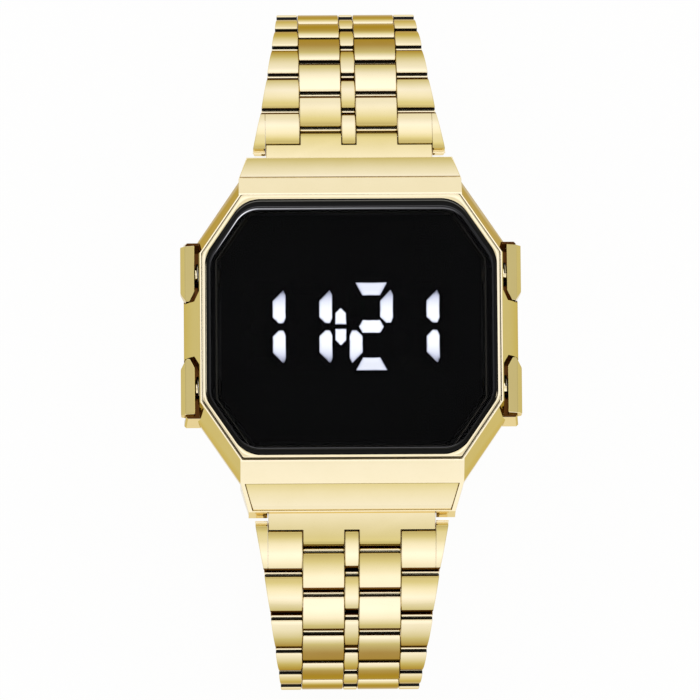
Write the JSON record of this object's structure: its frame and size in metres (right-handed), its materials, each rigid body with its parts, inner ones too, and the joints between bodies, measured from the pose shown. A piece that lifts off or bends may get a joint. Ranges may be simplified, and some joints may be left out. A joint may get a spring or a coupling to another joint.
{
  "type": "led wristwatch",
  "caption": "Octagonal LED wristwatch with a smoked lens, side pushers, a tapering five-row link bracelet and a folding clasp.",
  "frame": {"origin": "centre of the case back's outer face, where it rests on the wrist", "axes": "+Z leaves the dial, +Y points to 12 o'clock, +X to 3 o'clock"},
  "size_m": [0.0364, 0.075, 0.051],
  "materials": {
    "gold_plated_steel": "polished gold plating on steel",
    "smoked_mineral_glass": "polished dark glass",
    "black_silicone": "matte",
    "black_moulded_plastic": "matte",
    "white_light_guide": "lit white light guide",
    "dark_light_guide": "unlit smoked light guide",
    "green_board": "solder mask on glass fibre board",
    "black_component": "moulded epoxy",
    "grey_moulded_plastic": "moulded",
    "nickel_battery_can": "drawn nickel-plated steel",
    "copper_alloy_spring": "pressed spring strip",
    "brushed_stainless_steel": "brushed"
  },
  "bodies": {
    "head": {"case_body": "gold_plated_steel", "bezel": "gold_plated_steel", "lens": "smoked_mineral_glass", "lens_gasket": "black_silicone", "display_mask": "black_moulded_plastic", "segments_lit": "white_light_guide", "segments_dark": "dark_light_guide", "circuit_board": "green_board", "board_parts": "black_component", "module_holder": "grey_moulded_plastic", "battery": "nickel_battery_can", "battery_strap": "nickel_battery_can", "button_contacts": "copper_alloy_spring", "case_back": "brushed_stainless_steel", "case_back_gasket": "black_silicone", "case_back_screws": "brushed_stainless_steel", "end_panel_12": "gold_plated_steel", "end_panel_6": "gold_plated_steel", "spring_bar_12": "brushed_stainless_steel", "spring_bar_6": "brushed_stainless_steel", "pusher_spring_upper_right": "brushed_stainless_steel", "pusher_spring_lower_right": "brushed_stainless_steel", "pusher_spring_lower_left": "brushed_stainless_steel", "pusher_spring_upper_left": "brushed_stainless_steel"},
    "pusher_upper_right": {"pusher_upper_right": "gold_plated_steel"},
    "pusher_lower_right": {"pusher_lower_right": "gold_plated_steel"},
    "pusher_lower_left": {"pusher_lower_left": "gold_plated_steel"},
    "pusher_upper_left": {"pusher_upper_left": "gold_plated_steel"},
    "end_link_12": {"end_link_12": "gold_plated_steel"},
    "link_12_01": {"link_12_01": "gold_plated_steel"},
    "link_12_02": {"link_12_02": "gold_plated_steel"},
    "link_12_03": {"link_12_03": "gold_plated_steel"},
    "link_12_04": {"link_12_04": "gold_plated_steel"},
    "link_12_05": {"link_12_05": "gold_plated_steel"},
    "link_12_06": {"link_12_06": "gold_plated_steel"},
    "link_12_07": {"link_12_07": "gold_plated_steel"},
    "link_12_08": {"link_12_08": "gold_plated_steel"},
    "link_12_09": {"link_12_09": "gold_plated_steel"},
    "link_12_10": {"link_12_10": "gold_plated_steel"},
    "link_12_11": {"link_12_11": "gold_plated_steel"},
    "end_link_6": {"end_link_6": "gold_plated_steel"},
    "link_6_01": {"link_6_01": "gold_plated_steel"},
    "link_6_02": {"link_6_02": "gold_plated_steel"},
    "link_6_03": {"link_6_03": "gold_plated_steel"},
    "link_6_04": {"link_6_04": "gold_plated_steel"},
    "link_6_05": {"link_6_05": "gold_plated_steel"},
    "link_6_06": {"link_6_06": "gold_plated_steel"},
    "link_6_07": {"link_6_07": "gold_plated_steel"},
    "link_6_08": {"link_6_08": "gold_plated_steel"},
    "link_6_09": {"link_6_09": "gold_plated_steel"},
    "link_6_10": {"link_6_10": "gold_plated_steel"},
    "link_6_11": {"link_6_11": "gold_plated_steel", "clasp_bar_6": "brushed_stainless_steel"},
    "clasp_inner_blade": {"clasp_inner_blade": "brushed_stainless_steel", "clasp_bar_12": "brushed_stainless_steel"},
    "clasp_outer_blade": {"clasp_outer_blade": "brushed_stainless_steel", "clasp_pin_blade": "brushed_stainless_steel"},
    "clasp_cover": {"clasp_cover": "gold_plated_steel", "clasp_pin_cover": "brushed_stainless_steel"}
  },
  "joints": [
    {"name": "pusher_upper_right_press", "type": "slide", "parent": "head", "child": "pusher_upper_right", "axis": [-1, 0, 0], "range_m": [0, 0.00035], "stiffness_N_per_m": 800, "springref_m": -0.0005, "deforming": ["pusher_spring_upper_right"]},
    {"name": "pusher_lower_right_press", "type": "slide", "parent": "head", "child": "pusher_lower_right", "axis": [-1, 0, 0], "range_m": [0, 0.00035], "stiffness_N_per_m": 800, "springref_m": -0.0005, "deforming": ["pusher_spring_lower_right"]},
    {"name": "pusher_lower_left_press", "type": "slide", "parent": "head", "child": "pusher_lower_left", "axis": [1, 0, 0], "range_m": [0, 0.00035], "stiffness_N_per_m": 800, "springref_m": -0.0005, "deforming": ["pusher_spring_lower_left"]},
    {"name": "pusher_upper_left_press", "type": "slide", "parent": "head", "child": "pusher_upper_left", "axis": [1, 0, 0], "range_m": [0, 0.00035], "stiffness_N_per_m": 800, "springref_m": -0.0005, "deforming": ["pusher_spring_upper_left"]},
    {"name": "clasp_inner_blade_hinge", "type": "hinge", "parent": "link_12_11", "child": "clasp_inner_blade", "pos_m": [0, 0.02004, -0.03964], "axis": [1, 0, 0], "range_deg": [0, 30]},
    {"name": "clasp_outer_blade_hinge", "type": "hinge", "parent": "clasp_inner_blade", "child": "clasp_outer_blade", "pos_m": [0, -0.00847, -0.03954], "axis": [-1, 0, 0], "range_deg": [0, 120]},
    {"name": "clasp_cover_hinge", "type": "hinge", "parent": "clasp_outer_blade", "child": "clasp_cover", "pos_m": [0, 0.01454, -0.04064], "axis": [1, 0, 0], "range_deg": [0, 135]},
    {"name": "end_link_12_swing", "type": "hinge", "parent": "head", "child": "end_link_12", "pos_m": [0, 0.01775, 0.0019], "axis": [1, 0, 0], "range_deg": [0, 20]},
    {"name": "link_12_01_hinge", "type": "hinge", "parent": "end_link_12", "child": "link_12_01", "pos_m": [0, 0.02125, 0.00042], "axis": [1, 0, 0], "range_deg": [0, 15]},
    {"name": "link_12_02_hinge", "type": "hinge", "parent": "link_12_01", "child": "link_12_02", "pos_m": [0, 0.02561, -0.00242], "axis": [1, 0, 0], "range_deg": [0, 8.5]},
    {"name": "link_12_03_hinge", "type": "hinge", "parent": "link_12_02", "child": "link_12_03", "pos_m": [0, 0.02979, -0.00551], "axis": [1, 0, 0], "range_deg": [0, 16.5]},
    {"name": "link_12_04_hinge", "type": "hinge", "parent": "link_12_03", "child": "link_12_04", "pos_m": [0, 0.03327, -0.00937], "axis": [1, 0, 0], "range_deg": [0, 17]},
    {"name": "link_12_05_hinge", "type": "hinge", "parent": "link_12_04", "child": "link_12_05", "pos_m": [0, 0.03587, -0.01388], "axis": [1, 0, 0], "range_deg": [0, 13]},
    {"name": "link_12_06_hinge", "type": "hinge", "parent": "link_12_05", "child": "link_12_06", "pos_m": [0, 0.03782, -0.0187], "axis": [1, 0, 0], "range_deg": [0, 23]},
    {"name": "link_12_07_hinge", "type": "hinge", "parent": "link_12_06", "child": "link_12_07", "pos_m": [0, 0.03818, -0.02389], "axis": [1, 0, 0], "range_deg": [0, 24]},
    {"name": "link_12_08_hinge", "type": "hinge", "parent": "link_12_07", "child": "link_12_08", "pos_m": [0, 0.03683, -0.02891], "axis": [1, 0, 0], "range_deg": [0, 24]},
    {"name": "link_12_09_hinge", "type": "hinge", "parent": "link_12_08", "child": "link_12_09", "pos_m": [0, 0.03393, -0.03322], "axis": [1, 0, 0], "range_deg": [0, 22]},
    {"name": "link_12_10_hinge", "type": "hinge", "parent": "link_12_09", "child": "link_12_10", "pos_m": [0, 0.02988, -0.03649], "axis": [1, 0, 0], "range_deg": [0, 20]},
    {"name": "link_12_11_hinge", "type": "hinge", "parent": "link_12_10", "child": "link_12_11", "pos_m": [0, 0.02513, -0.03861], "axis": [1, 0, 0], "range_deg": [0, 17.5]},
    {"name": "end_link_6_swing", "type": "hinge", "parent": "head", "child": "end_link_6", "pos_m": [0, -0.01775, 0.0019], "axis": [-1, 0, 0], "range_deg": [0, 20]},
    {"name": "link_6_01_hinge", "type": "hinge", "parent": "end_link_6", "child": "link_6_01", "pos_m": [0, -0.02125, 0.00042], "axis": [-1, 0, 0], "range_deg": [0, 15.5]},
    {"name": "link_6_02_hinge", "type": "hinge", "parent": "link_6_01", "child": "link_6_02", "pos_m": [0, -0.02558, -0.00245], "axis": [-1, 0, 0], "range_deg": [0, 12.5]},
    {"name": "link_6_03_hinge", "type": "hinge", "parent": "link_6_02", "child": "link_6_03", "pos_m": [0, -0.02951, -0.00587], "axis": [-1, 0, 0], "range_deg": [0, 22.5]},
    {"name": "link_6_04_hinge", "type": "hinge", "parent": "link_6_03", "child": "link_6_04", "pos_m": [0, -0.03223, -0.0103], "axis": [-1, 0, 0], "range_deg": [0, 19.5]},
    {"name": "link_6_05_hinge", "type": "hinge", "parent": "link_6_04", "child": "link_6_05", "pos_m": [0, -0.03375, -0.01527], "axis": [-1, 0, 0], "range_deg": [0, 16]},
    {"name": "link_6_06_hinge", "type": "hinge", "parent": "link_6_05", "child": "link_6_06", "pos_m": [0, -0.03429, -0.02044], "axis": [-1, 0, 0], "range_deg": [0, 20]},
    {"name": "link_6_07_hinge", "type": "hinge", "parent": "link_6_06", "child": "link_6_07", "pos_m": [0, -0.03348, -0.02558], "axis": [-1, 0, 0], "range_deg": [0, 22.6]},
    {"name": "link_6_08_hinge", "type": "hinge", "parent": "link_6_07", "child": "link_6_08", "pos_m": [0, -0.03115, -0.03023], "axis": [-1, 0, 0], "range_deg": [0, 21]},
    {"name": "link_6_09_hinge", "type": "hinge", "parent": "link_6_08", "child": "link_6_09", "pos_m": [0, -0.02763, -0.03406], "axis": [-1, 0, 0], "range_deg": [0, 20]},
    {"name": "link_6_10_hinge", "type": "hinge", "parent": "link_6_09", "child": "link_6_10", "pos_m": [0, -0.02324, -0.03684], "axis": [-1, 0, 0], "range_deg": [0, 16]},
    {"name": "link_6_11_hinge", "type": "hinge", "parent": "link_6_10", "child": "link_6_11", "pos_m": [0, -0.0184, -0.03874], "axis": [-1, 0, 0], "range_deg": [0, 16.4]}
  ]
}
